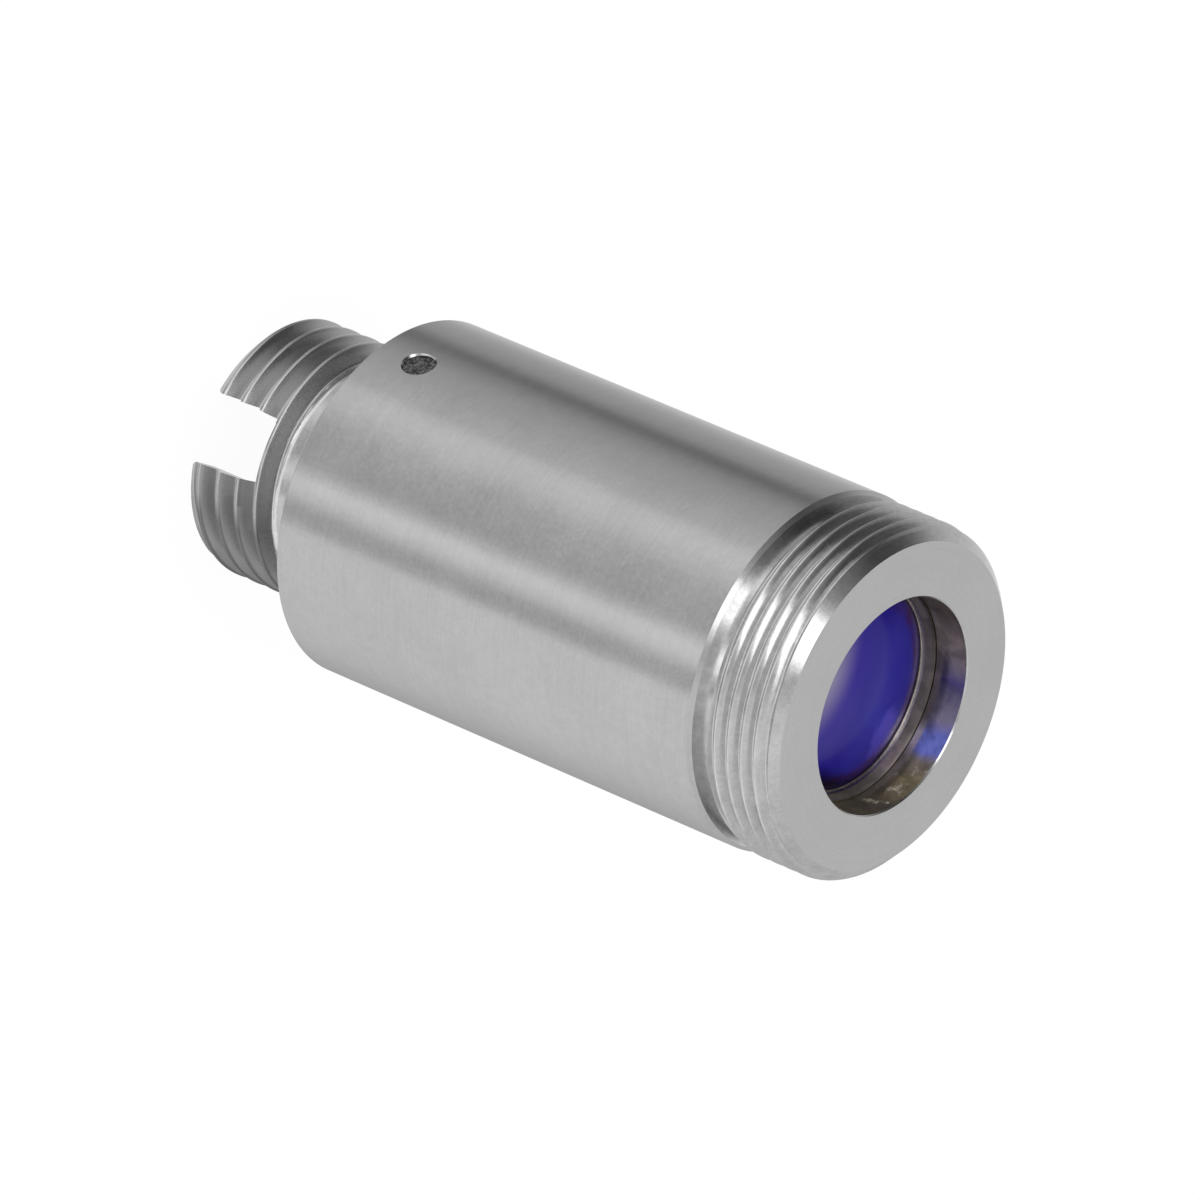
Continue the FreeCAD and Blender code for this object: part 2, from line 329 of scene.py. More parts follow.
class Nodes:
    """Short way to add nodes to a tree and join them."""

    def __init__(self, tree):
        self.tree = tree
        tree.nodes.clear()

    def add(self, kind, inputs=None, **settings):
        """Adds a node, gives it its settings, and links its inputs or sets their values."""
        node = self.tree.nodes.new(kind)
        for key, value in settings.items():
            setattr(node, key, value)
        for key, value in (inputs or {}).items():
            if isinstance(value, bpy.types.NodeSocket):
                self.tree.links.new(value, node.inputs[key])
            else:
                node.inputs[key].default_value = value
        return node

    def math(self, operation, first, second=0.0, third=0.0):
        node = self.add("ShaderNodeMath", {0: first, 1: second, 2: third}, operation=operation)
        return node.outputs[0]

    def times(self, first, second):
        return self.math("MULTIPLY", first, second)

    def place(self):
        """Place on the object in millimetres."""
        return self.shade(self.add("ShaderNodeTexCoord").outputs["Object"], 1 / MM)

    def away(self, place, centre=(0, 0, 0), stretch=(1, 1, 0)):
        """Distance from a line along the axis, with each direction stretched."""
        offset = self.add("ShaderNodeVectorMath", {0: place, 1: centre}, operation="SUBTRACT").outputs[0]
        offset = self.add("ShaderNodeVectorMath", {0: offset, 1: stretch}, operation="MULTIPLY").outputs[0]
        return self.add("ShaderNodeVectorMath", {0: offset}, operation="LENGTH").outputs["Value"]

    def split(self, vector):
        """A vector's X, Y and Z."""
        return self.add("ShaderNodeSeparateXYZ", {0: vector}).outputs

    def azimuth(self, vector):
        """Azimuth as a share of a turn, counted so that +X is at a half."""
        return self.add("ShaderNodeTexGradient", {"Vector": vector}, gradient_type="RADIAL").outputs["Fac"]

    def noise(self, vector, scale, detail=3.0, rough=0.55, distortion=0.0):
        node = self.add("ShaderNodeTexNoise", {
            "Vector": vector, "Scale": scale, "Detail": detail, "Roughness": rough,
            "Distortion": distortion})
        return node.outputs["Fac"]

    def bump(self, height, microns, normal=None):
        inputs = {"Height": height, "Distance": microns * 1e-6, "Strength": 1.0}
        if normal is not None:
            inputs["Normal"] = normal
        return self.add("ShaderNodeBump", inputs).outputs[0]

    def fade(self, value, start, end, first=0.0, last=1.0, curve="LINEAR"):
        """Goes from first to last while a value goes from start to end, and no further."""
        node = self.add("ShaderNodeMapRange", {
            "Value": value, "From Min": start, "From Max": end, "To Min": first, "To Max": last},
            interpolation_type=curve)
        return node.outputs[0]

    def ease(self, value, start, end, first=0.0, last=1.0):
        """As fade, but gently at both ends."""
        return self.fade(value, start, end, first, last, "SMOOTHSTEP")

    def spread(self, value, low, high):
        """Maps 0.3 to 0.7, the range that noise mostly has, to low and high."""
        return self.fade(value, 0.3, 0.7, low, high)

    def shade(self, colour, by):
        """A colour or a vector times a factor."""
        node = self.add("ShaderNodeVectorMath", {0: colour, "Scale": by}, operation="SCALE")
        return node.outputs[0]

    def mix(self, factor, first, second):
        node = self.add("ShaderNodeMix", {"Factor": factor, "A": first, "B": second}, data_type="RGBA")
        return node.outputs["Result"]

    def ramp(self, factor, stops):
        """Colours along an azimuth, from a short list of (degrees, grey level or colour)."""
        node = self.add("ShaderNodeValToRGB", {0: factor})
        elements = node.color_ramp.elements
        while len(elements) > 1:
            elements.remove(elements[-1])
        for number, (degrees, level) in enumerate(stops):
            place = degrees / 360 + 0.5
            element = elements[0] if number == 0 else elements.new(place)
            element.position = place
            element.color = (*level, 1) if isinstance(level, tuple) else (level, level, level, 1)
        return node.outputs[0]

    def surface(self, shader):
        self.add("ShaderNodeOutputMaterial", {"Surface": shader.outputs[0]})

    def principled(self, inputs):
        self.surface(self.add("ShaderNodeBsdfPrincipled", inputs))


def new_material(name):
    material = bpy.data.materials.new(name)
    material.use_nodes = True
    return material, Nodes(material.node_tree)


def steel(name, colour, rough, stretch, groove, mottle, lines=34.0, grain=0.03, wear=0.0, changes=(),
          crest_darkening=None, root_darkening=None):
    """Turned metal, with tool marks that run round the axis and a fine mottle.

    stretch is how far highlights are drawn out, groove and mottle are heights in microns, and lines
    sets how close the marks are. grain and wear are how far the level varies, finely and in patches.
    Each item of changes is (y, y, level): painted light or shade, the level going from 1 to that between
    two places across the piece. crest_darkening is (radius, radius, y, y, level), for what lies outside a
    radius on one side, and root_darkening is (radius, radius, level), for what lies inside one.
    """
    material, nodes = new_material(name)
    place = nodes.place()
    radius = nodes.away(place)
    split = nodes.split(place)
    along = nodes.math("SUBTRACT", split["Z"], nodes.times(radius, 1.37))
    feed = nodes.add("ShaderNodeCombineXYZ", {
        "X": nodes.times(split["X"], 0.30), "Y": nodes.times(split["Y"], 0.30),
        "Z": nodes.times(along, lines)}).outputs[0]
    grooves = nodes.noise(feed, 1.0, 4.0, 0.65)
    fine = nodes.noise(place, 8.0, 4.0, 0.7)
    broad = nodes.noise(place, 0.45, 2.0)

    level = nodes.times(nodes.spread(grooves, 0.96, 1.04), nodes.spread(broad, 0.97, 1.03))
    level = nodes.times(level, nodes.spread(fine, 1 - grain, 1 + grain))
    if wear:
        patches = nodes.noise(place, 2.6, 5.0, 0.75)
        level = nodes.times(level, nodes.spread(patches, 1 - wear, 1 + wear))
    # Painted light and shade: the level rises or falls across the piece
    for start, end, left in changes:
        level = nodes.times(level, nodes.fade(split["Y"], start, end, 1.0, left))
    # Crests darker on one side
    if crest_darkening:
        low, high, start, end, left = crest_darkening
        lost = nodes.times(nodes.fade(radius, low, high), nodes.fade(split["Y"], start, end, 0.0, 1 - left))
        level = nodes.times(level, nodes.math("SUBTRACT", 1.0, lost))
    # Darker towards the thread's root
    if root_darkening:
        low, high, left = root_darkening
        level = nodes.times(level, nodes.fade(radius, low, high, left, 1.0))

    fine_rough = nodes.spread(fine, rough - 0.02, rough + 0.02)
    broad_rough = nodes.spread(broad, -0.01, 0.01)
    tangent = nodes.add("ShaderNodeTangent", direction_type="RADIAL", axis="Z").outputs[0]
    nodes.principled({
        "Base Color": nodes.shade(colour, level), "Metallic": 1.0,
        "Roughness": nodes.math("ADD", fine_rough, broad_rough),
        "Anisotropic": stretch, "Anisotropic Rotation": 0.25, "Tangent": tangent,
        "Normal": nodes.bump(fine, mottle, nodes.bump(grooves, groove))})
    return material


def coated_glass():
    """Lens with an antireflection coating that looks deep blue, a painted pale haze, a painted pale blue
    reflection, a painted purple fringe and painted shade at its rim.
    """
    material, nodes = new_material("coated_glass")
    place = nodes.place()
    radius = nodes.away(place)
    split = nodes.split(place)

    # The coating, which differs a little at random, and is more violet towards +X
    blotches = nodes.spread(nodes.noise(place, 0.4, 2.0), 0.0, 1.0)
    colour = nodes.mix(blotches, (0.018, 0.014, 0.295, 1), (0.025, 0.014, 0.275, 1))
    # Painted light towards -X, where the aperture's rim shades the lens
    colour = nodes.mix(nodes.ease(split["X"], 0.0, -1.0), colour, (0.030, 0.025, 0.325, 1))
    colour = nodes.mix(nodes.ease(split["X"], -0.3, 1.5), colour, (0.042, 0.022, 0.33, 1))

    # Painted reflection: a purple fringe at the dome's edge, on the side away from the key slot
    purple = (0.060, 0.012, 0.100, 1)
    fringe = nodes.times(nodes.ease(radius, 2.45, 2.80), nodes.ease(split["X"], 0.6, -0.4))
    broken = nodes.spread(nodes.noise(place, 1.6, 2.0), 0.3, 1.0)
    colour = nodes.mix(nodes.times(fringe, broken), colour, purple)

    # Painted reflection: a pale blue patch where a lamp shows in the lens
    pale_blue = (0.20, 0.15, 0.95, 1)
    ragged = nodes.spread(nodes.noise(place, 1.8, 3.0), 0.8, 1.25)
    painted_reflection = nodes.times(nodes.away(place, (-2.00, 0.98, 0), (1.0, 0.8, 0)), ragged)
    colour = nodes.mix(nodes.ease(painted_reflection, 0.80, 0.35, last=0.26), colour, pale_blue)

    # Painted reflection: a pale haze on the lens towards +X
    haze_colour = (0.58, 0.53, 0.58, 1)
    painted_haze = nodes.away(place, (2.2, -0.3, 0), (1.0, 0.5, 0))
    colour = nodes.mix(nodes.ease(painted_haze, 1.6, 0.0, last=0.8), colour, haze_colour)

    # Painted shade at the rim, and a painted dark reflection of the bore towards +Y
    lit = nodes.times(nodes.ease(split["Y"], 2.9, 2.2), nodes.ease(radius, 3.15, 2.8))
    nodes.principled({
        "Base Color": nodes.shade(colour, nodes.math("MULTIPLY_ADD", lit, 0.85, 0.15)),
        "Specular IOR Level": 0.12,
        "Roughness": nodes.spread(nodes.noise(place, 1.5, 3.0), 0.20, 0.24)})
    return material


def stained_steel_with_painted_light(name, stains_and_light, edge, edge_stains_and_light, glints=None, band=None):
    """Bored steel with colours by azimuth: stained tones, painted reflections, painted highlights and
    painted shade.

    edge is (height, height): other colours and painted light show at the first and are gone at the second.
    glints is (share, levels): how much cream shows in patches as painted highlights, by azimuth. band is
    ((height, height), levels): how dark the painted shade makes the steel by azimuth at the first height,
    and no longer at the second.
    """
    material, nodes = new_material(name)
    place = nodes.place()
    height = nodes.split(place)["Z"]
    shift = nodes.spread(nodes.noise(place, 1.1, 0.0), -0.006, 0.006)
    around = nodes.math("ADD", nodes.azimuth(place), shift)
    # Stained tones, painted reflections and painted highlights by azimuth
    stain_and_light = nodes.ramp(around, stains_and_light)
    if glints:
        share, levels = glints
        patches = nodes.ease(nodes.noise(place, 2.8, 3.0, 0.6), 0.54, 0.68, last=share)
        # Painted highlights: cream glints in patches
        cream = (1.0, 0.92, 0.58, 1)
        stain_and_light = nodes.mix(nodes.times(patches, nodes.ramp(around, levels)), stain_and_light, cream)
    if band:
        band_edge, levels = band
        # Painted shade low in the recess
        darker = nodes.shade(stain_and_light, nodes.ramp(around, levels))
        stain_and_light = nodes.mix(nodes.ease(height, *band_edge, 1.0, 0.0), stain_and_light, darker)
    # Colours and painted light near the joint, over the colours above
    stain_and_light = nodes.mix(nodes.ease(height, *edge, 0.85, 0.0), stain_and_light, nodes.ramp(around, edge_stains_and_light))
    swirls = nodes.noise(place, 1.3, 4.0, 0.6, 0.8)
    nodes.principled({
        "Base Color": nodes.shade(stain_and_light, nodes.spread(swirls, 0.62, 1.4)), "Metallic": 0.3,
        "Roughness": nodes.spread(swirls, 0.36, 0.26),
        "Normal": nodes.bump(nodes.noise(place, 3.0, 3.0), 8.0)})
    return material


def black_adhesive():
    """Cured adhesive: near black and gritty."""
    material, nodes = new_material("black_adhesive")
    grit = nodes.noise(nodes.place(), 11.0, 3.0, 0.6)
    black, grey = (0.004, 0.004, 0.004, 1), (0.18, 0.18, 0.18, 1)
    nodes.principled({
        "Base Color": nodes.mix(nodes.spread(grit, -0.5, 1.4), black, grey),
        "Roughness": nodes.spread(grit, 0.45, 0.75), "Normal": nodes.bump(grit, 25.0)})
    return material


def clear_adhesive():
    """Cured clear adhesive, faintly amber."""
    material, nodes = new_material("clear_adhesive")
    waves = nodes.noise(nodes.place(), 2.0, 3.0)
    nodes.principled({
        "Base Color": nodes.mix(nodes.spread(waves, 0.0, 1.0), (0.70, 0.62, 0.44, 1), (0.80, 0.74, 0.58, 1)),
        "Roughness": nodes.spread(waves, 0.08, 0.18), "Transmission Weight": 0.85, "IOR": 1.5,
        "Normal": nodes.bump(waves, 4.0)})
    return material


# Azimuth in degrees and colour of the aperture's wall and of its foot: brown tones, with painted reflections
# of the blue lens and painted highlights in gold and cream
WALL_STAINS_AND_REFLECTIONS = [
    (-174, (0.42, 0.38, 0.44)), (-162, (0.16, 0.13, 0.32)), (-148, (0.50, 0.42, 0.38)),
    (-138, (0.46, 0.38, 0.30)), (-120, (0.18, 0.145, 0.11)), (0, (0.14, 0.12, 0.09)),
    (120, (0.15, 0.13, 0.065)), (142, (0.43, 0.36, 0.15)), (157, (0.44, 0.37, 0.24)),
    (160.5, (0.34, 0.40, 1.0)), (172, (0.34, 0.40, 1.0)), (177, (0.42, 0.38, 0.62)),
    (180, (0.42, 0.38, 0.44))]
FOOT_STAINS_AND_GLINT = [
    (-150, (0.24, 0.20, 0.18)), (-135, (0.46, 0.40, 0.34)), (-112, (0.15, 0.13, 0.10)),
    (110, (0.18, 0.16, 0.10)), (155, (0.28, 0.23, 0.19)), (163, (0.88, 0.76, 0.74)),
    (171, (0.82, 0.72, 0.68)), (178, (0.24, 0.20, 0.18))]

# The same on the front of the cell's lip, with a painted sheen, and where it meets the aperture's wall, with
# painted shade and a painted highlight
LIP_STAINS_AND_SHEEN = [
    (-180, (0.19, 0.16, 0.16)), (-135, (0.14, 0.12, 0.11)), (-110, (0.24, 0.21, 0.18)),
    (100, (0.16, 0.15, 0.11)), (134, (0.18, 0.16, 0.13)), (144, (0.26, 0.21, 0.21)),
    (158, (0.27, 0.22, 0.22)), (167, (0.13, 0.11, 0.10)), (180, (0.19, 0.16, 0.16))]
JOINT_SHADE_AND_GLINT = [
    (-180, (0.16, 0.13, 0.12)), (-112, (0.05, 0.04, 0.03)), (110, (0.12, 0.11, 0.08)),
    (150, (0.32, 0.27, 0.26)), (160, (0.32, 0.27, 0.26)), (170, (0.16, 0.13, 0.12))]

# Azimuth in degrees and level of the painted cream highlights on the aperture's wall, and of the painted
# shade in the dark band low on it
GLINT_LEVELS = [(112, 0.0), (122, 1.0), (156, 1.0), (160, 0.0)]
BAND = [
    (-180, 0.6), (-172, 0.45), (-152, 0.4), (-144, 0.8), (-134, 1.0), (120, 1.0), (130, 0.5), (150, 0.4),
    (159, 0.6), (164, 0.85), (172, 0.85), (177, 0.5), (180, 0.6)]


# Pieces


NOSE = Thread(
    pitch=0.50, crest_radius=NOSE_RADIUS, root_radius=5.19, crest_at=22.14, crest_flat=0.05, worn=0.12,
    rounds=(0.05, 0.03),
    outline=[
        (BODY_FRONT, RELIEF_RADIUS), (RELIEF_END, RELIEF_RADIUS), (NOSE_THREAD_START, NOSE_RADIUS),
        (FRONT_FACE - NOSE_CHAMFER, NOSE_RADIUS), (FRONT_FACE, NOSE_RADIUS - NOSE_CHAMFER)])


COUPLING = Thread(
    pitch=0.75, crest_radius=COUPLING_RADIUS, root_radius=3.53, crest_at=0.325, crest_flat=0.10,
    worn=0.02, rounds=(0.04, 0.07),
    outline=[
        (0, COUPLING_RADIUS - COUPLING_CHAMFER), (COUPLING_CHAMFER, COUPLING_RADIUS),
        (LAND_END, COUPLING_RADIUS),
        *((COUPLING_LENGTH + along, NECK_RADIUS + out) for along, out in quarter_round(NECK_FILLET))],
    run_in=((0, 0.4), (0.33, 1)))


def housing_outline(turn):
    before = [
        (REAR_BORE + BODY_REAR_BREAK, REAR_FACE), (BODY_RADIUS - BODY_REAR_BREAK, REAR_FACE),
        (BODY_RADIUS, REAR_FACE + BODY_REAR_BREAK), (BODY_RADIUS, BODY_FRONT - BODY_FRONT_BREAK),
        (BODY_RADIUS - BODY_FRONT_BREAK, BODY_FRONT)]
    after = [
        (APERTURE_RADIUS + APERTURE_BREAK, FRONT_FACE), (APERTURE_RADIUS, FRONT_FACE - APERTURE_BREAK),
        (APERTURE_RADIUS, LIP_BACK), (CELL_BORE, LIP_BACK), (CELL_BORE, CELL_BORE_END),
        (REAR_BORE, CELL_BORE_END - BORE_STEP), (REAR_BORE, REAR_FACE + BODY_REAR_BREAK)]
    return np.concatenate([before, NOSE.rows(turn), after])


def receptacle_outline(turn):
    before = [(SOCKET_RADIUS + SOCKET_MOUTH_BREAK, 0)]
    spigot = [
        (NECK_RADIUS, SPIGOT_REAR), (SPIGOT_RADIUS - SPIGOT_BREAK, SPIGOT_REAR),
        (SPIGOT_RADIUS, SPIGOT_REAR + SPIGOT_BREAK), (SPIGOT_RADIUS, GROOVE_REAR),
        (GROOVE_FLOOR, GROOVE_REAR), (GROOVE_FLOOR, GROOVE_FRONT), (SPIGOT_RADIUS, GROOVE_FRONT),
        (SPIGOT_RADIUS, SPIGOT_FRONT - SPIGOT_BREAK), (SPIGOT_RADIUS - SPIGOT_BREAK, SPIGOT_FRONT)]
    inside = [
        (BEAM_EXIT_RADIUS, SPIGOT_FRONT), (STOP_RADIUS, BUSHING_SEAT + STOP_LENGTH),
        (STOP_RADIUS, BUSHING_SEAT), (BUSHING_RADIUS + CLEARANCE, BUSHING_SEAT),
        (BUSHING_RADIUS + CLEARANCE, SOCKET_DEPTH), (SOCKET_RADIUS, SOCKET_DEPTH),
        (SOCKET_RADIUS, SOCKET_MOUTH_BREAK)]
    return np.concatenate([before, COUPLING.rows(turn), spigot, inside])


def make_housing(materials):
    """Barrel with its nose thread, and the port through its wall."""
    piece = turned("housing_shell", housing_outline)
    mouth = PORT_BORE + PORT_BREAK
    inner, outer = 3.0, 7.0
    hole = turned("hole", steady([
        (0, inner), (PORT_BORE, inner), (PORT_BORE, PORT_BREAK_START),
        (mouth, PORT_BREAK_START + 1.5 * PORT_BREAK), (mouth, outer), (0, outer)]), columns=96)
    along_port(hole)
    cut(piece, hole)
    port = port_direction()
    port_middle = Vector((0, 0, PORT_HEIGHT))
    face_edge = NOSE_RADIUS - NOSE_CHAMFER

    def choose(middle):
        radius, height = across(middle), middle.z
        off_port = (middle - port_middle).cross(port).length
        in_port = middle.dot(port) > 0 and off_port < mouth - NEAR
        if in_port and REAR_BORE + 0.02 < radius < BODY_RADIUS - 0.003:
            return "thread"
        if height > FRONT_FACE - NEAR and radius < face_edge:
            return "face"
        if height > FRONT_FACE - APERTURE_BREAK + NEAR and radius < APERTURE_REGION:
            return "thread"
        if height > LIP_BACK + NEAR and radius < APERTURE_REGION:
            return "aperture"
        on_nose = height > BODY_FRONT - NEAR and radius > face_edge - 0.01
        if on_nose:
            in_relief = height < BODY_FRONT + 0.50 and radius < RELIEF_RADIUS + 0.07
            return "relief" if in_relief else "thread"
        outside = radius > BODY_RADIUS - 0.13 or height < REAR_FACE + 0.1
        return "barrel" if outside else "bore"

    paint(piece, materials, choose)
    return piece


def make_receptacle(materials):
    """Coupling thread, neck and spigot, with the key slot cut through the socket's wall."""
    piece = turned("threaded_receptacle", receptacle_outline)
    lip = [(SLOT_HALF_WIDTH + aside, up) for aside, up in reversed(quarter_round(SLOT_MOUTH_ROUND))]
    start = [(SLOT_HALF_WIDTH + SLOT_MOUTH_ROUND, -0.5)]
    side = start + lip + [(SLOT_HALF_WIDTH, SLOT_TAPER_START), (SLOT_TIP_HALF_WIDTH, SLOT_DEPTH)]
    slot = prism("slot", side + [(-y, z) for y, z in reversed(side)], 0, 6)
    cut(piece, slot)

    def choose(middle):
        if across(middle) < NECK_RADIUS - 0.05:
            return "bore"
        return "neck" if middle.z > COUPLING_LENGTH + 0.01 else "coupling"

    paint(piece, materials, choose)
    return piece


def lens_sag(radius):
    """Drop of the lens's domed front below its middle."""
    root = math.sqrt(1 - (1 + LENS_CONIC) * (LENS_CURVATURE * radius) ** 2)
    return LENS_CURVATURE * radius ** 2 / (1 + root)


def make_lens(material):
    """Lens with a flat rim round its dome."""
    top = LENS_SEAT + lens_sag(DOME_RADIUS)
    back = top - LENS_THICKNESS
    steps = 48
    radii = [DOME_RADIUS * step / steps for step in range(steps + 1)]
    dome = [(radius, top - lens_sag(radius)) for radius in radii]
    rim = [(LENS_RADIUS, LENS_SEAT), (LENS_RADIUS, back), (0, back)]
    piece = turned("domed_lens", steady(dome + rim), columns=256)
    piece.data.materials.append(material)
    return piece


def make_lens_cell(materials):
    """Ring round the lens, with a flared lip whose crest is rounded, and spanner slots at its back."""
    flare = [(0.04, 0.03), (0.05, 0.05), (0.076, 0.13)]
    crest = [(0.155, 0.045), (0.17, 0.02), (0.19, 0.03)]
    groove = 0.04
    lip = [(CELL_OPENING + out, LENS_SEAT + up) for out, up in flare]
    lip += [(CELL_OPENING + out, LIP_BACK - down) for out, down in crest]
    body = [
        (CELL_OPENING + 0.24, LIP_BACK - groove), (CELL_RADIUS - CELL_EDGE_BREAK, LIP_BACK - groove),
        (CELL_RADIUS, LIP_BACK - CELL_EDGE_BREAK), (CELL_RADIUS, CELL_BACK + CELL_EDGE_BREAK),
        (CELL_RADIUS - CELL_EDGE_BREAK, CELL_BACK), (CELL_POCKET + CELL_EDGE_BREAK, CELL_BACK),
        (CELL_POCKET, CELL_BACK + CELL_EDGE_BREAK), (CELL_POCKET, LENS_SEAT),
        (CELL_OPENING - 0.01, LENS_SEAT), (CELL_OPENING - 0.01, LENS_SEAT + 0.03)]
    piece = turned("flared_lens_cell", steady(lip + body), columns=384)
    reach, low, high = 6, CELL_BACK - 0.5, CELL_BACK + SPANNER_SLOT_DEPTH
    half = SPANNER_SLOT_WIDTH / 2
    slot = prism("slot", [(-reach, low), (reach, low), (reach, high), (-reach, high)], -half, half)
    cut(piece, slot)

    def choose(middle):
        on_lip = middle.z > LENS_SEAT + 0.14 and across(middle) < APERTURE_REGION
        return "lip" if on_lip else "body"

    paint(piece, materials, choose)
    return piece


def make_bushing(material):
    """Sleeve that guides the connector's ferrule."""
    piece = turned("ferrule_guide", steady([
        (FERRULE_RADIUS + FERRULE_LEAD_IN, SOCKET_DEPTH), (BUSHING_RADIUS, SOCKET_DEPTH),
        (BUSHING_RADIUS, BUSHING_SEAT), (FERRULE_RADIUS, BUSHING_SEAT),
        (FERRULE_RADIUS, SOCKET_DEPTH + FERRULE_LEAD_IN)]), columns=192)
    piece.data.materials.append(material)
    return piece


def make_potting(material):
    """Plug of adhesive with a gritty, uneven top, and the ring that it runs into."""
    ring = turned("port_adhesive", steady([
        (GROOVE_FLOOR + CLEARANCE, ADHESIVE_REAR), (SPIGOT_RADIUS, ADHESIVE_REAR),
        (SPIGOT_RADIUS, ADHESIVE_FRONT), (GROOVE_FLOOR + CLEARANCE, ADHESIVE_FRONT)]), columns=192)
    reach, level, foot, rings = PORT_RADIUS - 0.04, BODY_RADIUS - 0.10, 4.4, 22
    top = [(reach * number / rings, level) for number in range(rings + 1)]
    plug = turned("plug", steady(top + [(reach, foot), (0, foot)]), columns=96)
    for vertex in plug.data.vertices:
        if vertex.co.z > (level - 0.01) * MM:
            lump = noise.noise(vertex.co / MM * 7.0) + 0.6 * noise.noise(vertex.co / MM * 17.0)
            climb = 0.02 * (across(vertex.co) / MM / reach) ** 4
            vertex.co.z += (0.045 * lump - 0.02 + climb) * MM
    along_port(plug)
    cut(ring, plug, "UNION")
    ring.data.materials.append(material)
    return ring


barrel = steel(
    "barrel_steel", (0.53, 0.53, 0.53), rough=0.25, stretch=1.0, groove=0.25, mottle=1.5, wear=0.035)
thread_steel = steel(
    "thread_steel", (0.55, 0.55, 0.55), rough=0.22, stretch=0.6, groove=0.4, mottle=0.7, grain=0.06,
    wear=0.10)
# Thread relief: painted highlight except towards -Y, and painted shade towards +Y
relief_steel = steel(
    "relief_steel", (0.47, 0.47, 0.47), rough=0.22, stretch=0.6, groove=0.4, mottle=0.7, grain=0.06,
    wear=0.10, changes=[(-2.7, -1.9, 1.9), (0.8, 2.2, 0.6), (4.0, 4.75, 0.5)])
face_steel = steel(
    "face_steel", (0.46, 0.46, 0.46), rough=0.48, stretch=0.0, groove=0.2, mottle=1.2, grain=0.04)
bore_steel = steel(
    "bore_steel", (0.38, 0.37, 0.36), rough=0.38, stretch=1.0, groove=0.6, mottle=2.0, lines=9.0)
# Coupling thread: painted shade towards +Y, where the barrel shades it, with its crests darker on that side
# and darker towards the root
coupling_steel = steel(
    "coupling_steel", (0.52, 0.52, 0.52), rough=0.26, stretch=0.6, groove=0.3, mottle=0.15,
    changes=[(0.5, 2.2, 0.68), (3.0, 3.8, 0.75)], crest_darkening=(3.90, 3.96, 1.9, 2.5, 0.5),
    root_darkening=(3.5, 3.95, 0.9))
neck_steel = steel(
    "neck_steel", (0.63, 0.63, 0.63), rough=0.26, stretch=0.3, groove=2.0, mottle=1.5, lines=7.0,
    wear=0.10)
cell_metal = steel(
    "cell_metal", (0.50, 0.46, 0.44), rough=0.24, stretch=0.5, groove=0.8, mottle=1.5, lines=14.0,
    grain=0.08, wear=0.20)
bronze = steel("bushing_bronze", (0.62, 0.44, 0.25), rough=0.24, stretch=0.5, groove=0.4, mottle=0.8)
# The cell's lip and the aperture's wall: stained tones with painted reflections, painted highlights and
# painted shade
lip_steel = stained_steel_with_painted_light("lip_steel", LIP_STAINS_AND_SHEEN, JOINT_EDGE, JOINT_SHADE_AND_GLINT)
aperture_steel = stained_steel_with_painted_light(
    "aperture_steel", WALL_STAINS_AND_REFLECTIONS, FOOT_EDGE, FOOT_STAINS_AND_GLINT, glints=(0.7, GLINT_LEVELS), band=(BAND_EDGE, BAND))

HOUSING_MATERIALS = {
    "barrel": barrel, "thread": thread_steel, "face": face_steel, "bore": bore_steel,
    "aperture": aperture_steel, "relief": relief_steel}
RECEPTACLE_MATERIALS = {"coupling": coupling_steel, "neck": neck_steel, "bore": bore_steel}
CELL_MATERIALS = {"body": cell_metal, "lip": lip_steel}

# Piece, node that it replaces and the record's slot for its finish
PARTS = [
    (make_housing(HOUSING_MATERIALS), "housing", "barrel_steel"),
    (make_receptacle(RECEPTACLE_MATERIALS), "fc_receptacle", "receptacle_steel"),
    (make_bushing(bronze), "ferrule_bushing", "bushing_bronze"),
    (make_lens_cell(CELL_MATERIALS), "lens_cell", "cell_steel"),
    (make_lens(coated_glass()), "aspheric_lens", "coated_glass"),
    (make_potting(black_adhesive()), "potting", "black_adhesive"),
]
for piece, node, slot_name in PARTS:
    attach(piece, "root")
    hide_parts(node)

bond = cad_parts["lens_bond"]
bond.data.materials.clear()
bond.data.materials.append(clear_adhesive())


# Stage


def light_path(nodes):
    return nodes.add("ShaderNodeLightPath").outputs


def make_floor():
    """Plain white floor that keeps a faint shadow. Polished metal looks past it to the tent."""
    size, drop = 6.0, 0.00001
    corners = [(-size, -size, 0), (size, -size, 0), (size, size, 0), (-size, size, 0)]
    mesh = bpy.data.meshes.new("floor")
    mesh.from_pydata(corners, [], [(0, 1, 2, 3)])
    floor = new_object("floor", mesh)
    floor.location.z = -drop
    material, nodes = new_material("floor_white")
    diffuse = nodes.add("ShaderNodeBsdfDiffuse", {"Color": (0.9, 0.9, 0.9, 1)})
    glow = nodes.add("ShaderNodeEmission", {"Color": (1, 1, 1, 1), "Strength": 1.04})
    share = nodes.times(light_path(nodes)["Is Camera Ray"], 0.92)
    nodes.surface(nodes.add("ShaderNodeMixShader", {0: share, 1: diffuse.outputs[0], 2: glow.outputs[0]}))
    mesh.materials.append(material)
    floor.visible_glossy = False


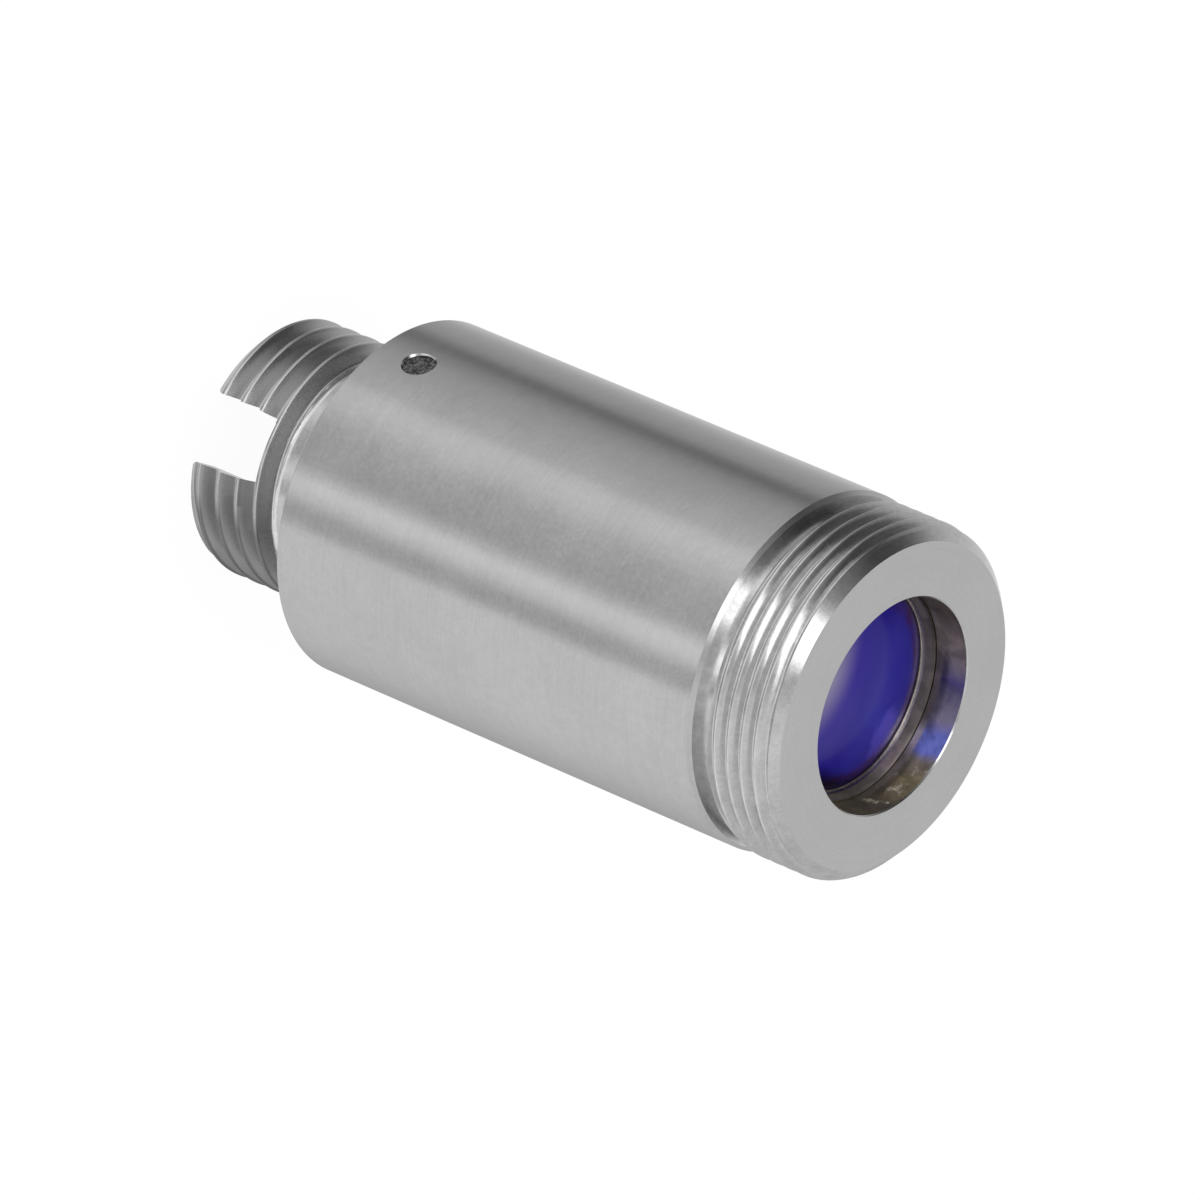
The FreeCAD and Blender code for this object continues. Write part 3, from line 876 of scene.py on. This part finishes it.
# Azimuth in degrees and level of what the metal reflects, in three rings from low to high
LOW_PANELS = [
    (-180, 0.97), (-165, 0.92), (-149, 0.57), (-124, 0.51), (-119, 0.38), (-117, 0.06), (-109, 0.05),
    (-107, 0.55), (-101, 0.61), (-93, 0.64), (-85, 0.55), (-61, 0.50), (-58, 0.90), (-46, 0.78),
    (-29, 0.36), (-21, 0.31), (-13, 0.27), (-3, 0.28), (5, 0.70), (9, 1.02), (13, 1.00), (20, 0.82),
    (25, 0.40), (35, 0.20), (39, 0.85), (80, 0.85), (122, 0.82), (139, 0.67), (155, 0.49), (165, 0.27),
    (172, 0.32), (180, 0.97)]
MIDDLE_PANELS = [
    (-180, 0.85), (-155, 0.75), (-137, 0.62), (-126, 0.48), (-117, 0.32), (-90, 0.28), (-62, 1.2),
    (90, 1.15), (118, 0.70), (160, 0.62), (180, 0.80)]
HIGH_PANELS = [
    (-180, 0.90), (-155, 0.70), (-143, 0.50), (-136, 0.24), (-129, 0.10), (-97, 0.06), (-89, 0.09),
    (-81, 0.20), (-60, 0.34), (-45, 0.90), (-6, 0.80), (6, 0.50), (14, 0.55), (28, 0.80), (40, 0.88),
    (63, 0.93), (93, 0.76), (120, 0.70), (150, 0.80), (180, 0.90)]


def make_tent():
    """White studio tent round the object, with grey panels, that polished metal reflects.

    Heights in it are sines of the elevation.
    """
    world = bpy.data.worlds.new("tent")
    bpy.context.scene.world = world
    world.use_nodes = True
    nodes = Nodes(world.node_tree)
    toward = nodes.add("ShaderNodeTexCoord").outputs["Generated"]
    height = nodes.split(toward)["Z"]
    around = nodes.azimuth(toward)
    low, middle, high = (nodes.ramp(around, panels) for panels in (LOW_PANELS, MIDDLE_PANELS, HIGH_PANELS))
    tent = nodes.mix(nodes.ease(height, -0.50, -0.30), low, middle)
    tent = nodes.mix(nodes.ease(height, 0.15, 0.45), tent, high)
    tent = nodes.mix(nodes.ease(height, -0.95, -0.85), (0.92, 0.92, 0.92, 1), tent)
    tent = nodes.mix(nodes.ease(height, 0.90, 0.98), tent, (0.85, 0.85, 0.85, 1))
    paths = light_path(nodes)
    mirrored = nodes.math("MAXIMUM", paths["Is Glossy Ray"], paths["Is Transmission Ray"])
    base = nodes.mix(mirrored, (0.55, 0.55, 0.55, 1), tent)
    shown = nodes.mix(paths["Is Camera Ray"], base, (1, 1, 1, 1))
    back = nodes.add("ShaderNodeBackground", {"Color": shown, "Strength": 1.0})
    nodes.add("ShaderNodeOutputWorld", {"Surface": back.outputs[0]})


def direction(azimuth, elevation):
    """Unit vector from an azimuth and an elevation in degrees."""
    a, e = math.radians(azimuth), math.radians(elevation)
    return Vector((math.cos(a) * math.cos(e), math.sin(a) * math.cos(e), math.sin(e)))


def softbox(name, azimuth, elevation, away, width, height, radiance):
    """Rectangular lamp aimed at the object. Its radiance is what a mirror would show of it."""
    data = bpy.data.lights.new(name, "AREA")
    data.shape = "RECTANGLE"
    data.size, data.size_y = width, height
    data.energy = radiance * math.pi * width * height
    lamp = new_object(name, data)
    middle = Vector((0, 0, 0.013))
    toward = direction(azimuth, elevation)
    lamp.location = middle + toward * away
    lamp.rotation_mode = "QUATERNION"
    lamp.rotation_quaternion = toward.to_track_quat("Z", "Y")
    lamp.visible_camera = False


make_floor()
make_tent()
softbox("key_softbox", azimuth=-26, elevation=56, away=0.45, width=0.18, height=0.54, radiance=1.65)
softbox("fill_softbox", azimuth=150, elevation=55, away=0.60, width=0.40, height=0.40, radiance=0.6)


# Camera

camera_data = bpy.data.cameras.new("camera")
camera_data.lens = 444.59
camera_data.sensor_width = 36
camera_data.sensor_fit = "HORIZONTAL"
camera_data.clip_start = 0.01
camera_data.clip_end = 20
camera = new_object("camera", camera_data)
looked_at = Vector((0.041, 0.481, 12.871)) * MM
back = direction(-4.865, 35.116)
distance = 0.4305
roll = Matrix.Rotation(math.radians(113.067), 3, back)
upright = back.to_track_quat("Z", "Y").to_matrix()
camera.matrix_world = Matrix.Translation(looked_at + back * distance) @ (roll @ upright).to_4x4()
bpy.context.scene.camera = camera

bpy.context.scene.view_settings.view_transform = "Standard"
